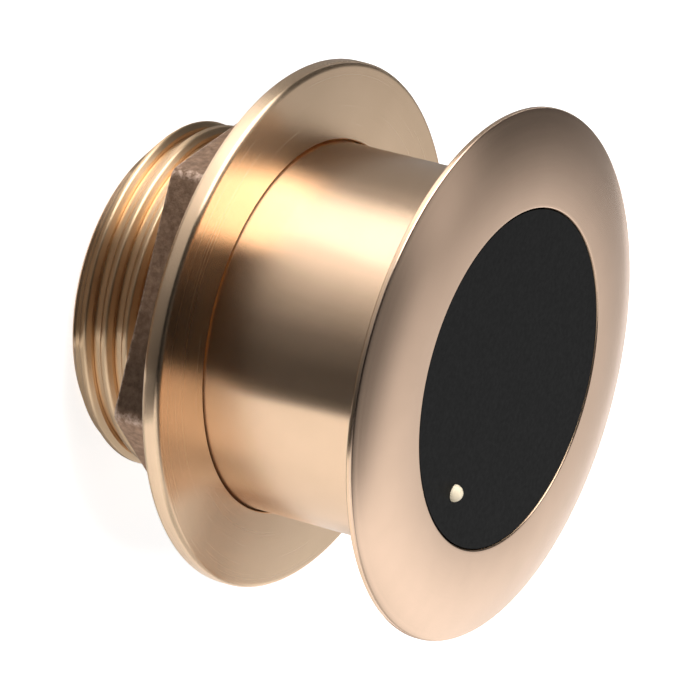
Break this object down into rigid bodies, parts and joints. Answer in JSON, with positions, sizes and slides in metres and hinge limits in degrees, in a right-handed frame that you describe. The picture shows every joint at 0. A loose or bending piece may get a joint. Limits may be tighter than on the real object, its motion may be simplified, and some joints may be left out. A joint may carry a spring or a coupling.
{
  "type": "sonar transducer",
  "caption": "Bronze through-hull sonar transducer: domed flange round a black acoustic face, smooth barrel, threaded stem and a flanged hexagon hull nut that travels along it.",
  "frame": {"origin": "centre of the stem's rear rim, on which the part stands with its acoustic face up", "axes": "+Z along the stem out of the acoustic face; a flat of the nut's hexagon faces about -Y"},
  "size_m": [0.0864, 0.0864, 0.0672],
  "materials": {
    "turned_bronze": "fine turning lines, satin",
    "nut_bronze": "turned flange, hexagon rough as cast",
    "black_face": "cast, matte",
    "button_metal": "smooth, pale",
    "bead_glass": "glazed bead",
    "lead_cover": "plastic cover",
    "matching_resin": "filled resin",
    "piezo_ceramic": "fired, silvered faces",
    "cork": "pressed cork",
    "backing_foam": "rigid filled foam",
    "board_laminate": "glass laminate",
    "post_brass": "turned",
    "ferrite": "sintered",
    "copper_wire": "enamelled wire",
    "chip_resin": "moulded",
    "pin_metal": "tinned",
    "potting_resin": "cast epoxy",
    "grommet_rubber": "moulded"
  },
  "bodies": {
    "body": {"housing": "turned_bronze", "acoustic_window": "black_face", "sensor_button": "button_metal", "sensor_bead": "bead_glass", "sensor_leads": "lead_cover", "matching_layer": "matching_resin", "ceramic_element": "piezo_ceramic", "isolation_sleeve": "cork", "backing_block": "backing_foam", "support_plate": "board_laminate", "board_posts": "post_brass", "circuit_board": "board_laminate", "coil_core": "ferrite", "coil_winding": "copper_wire", "id_chip": "chip_resin", "terminal_pins": "pin_metal", "element_leads": "lead_cover", "rear_potting": "potting_resin", "cable_grommet": "grommet_rubber"},
    "nut": {"hull_nut": "nut_bronze"}
  },
  "joints": [
    {"name": "nut_travel", "type": "slide", "parent": "body", "child": "nut", "axis": [0, 0, -1], "range_m": [0, 0.015]}
  ]
}
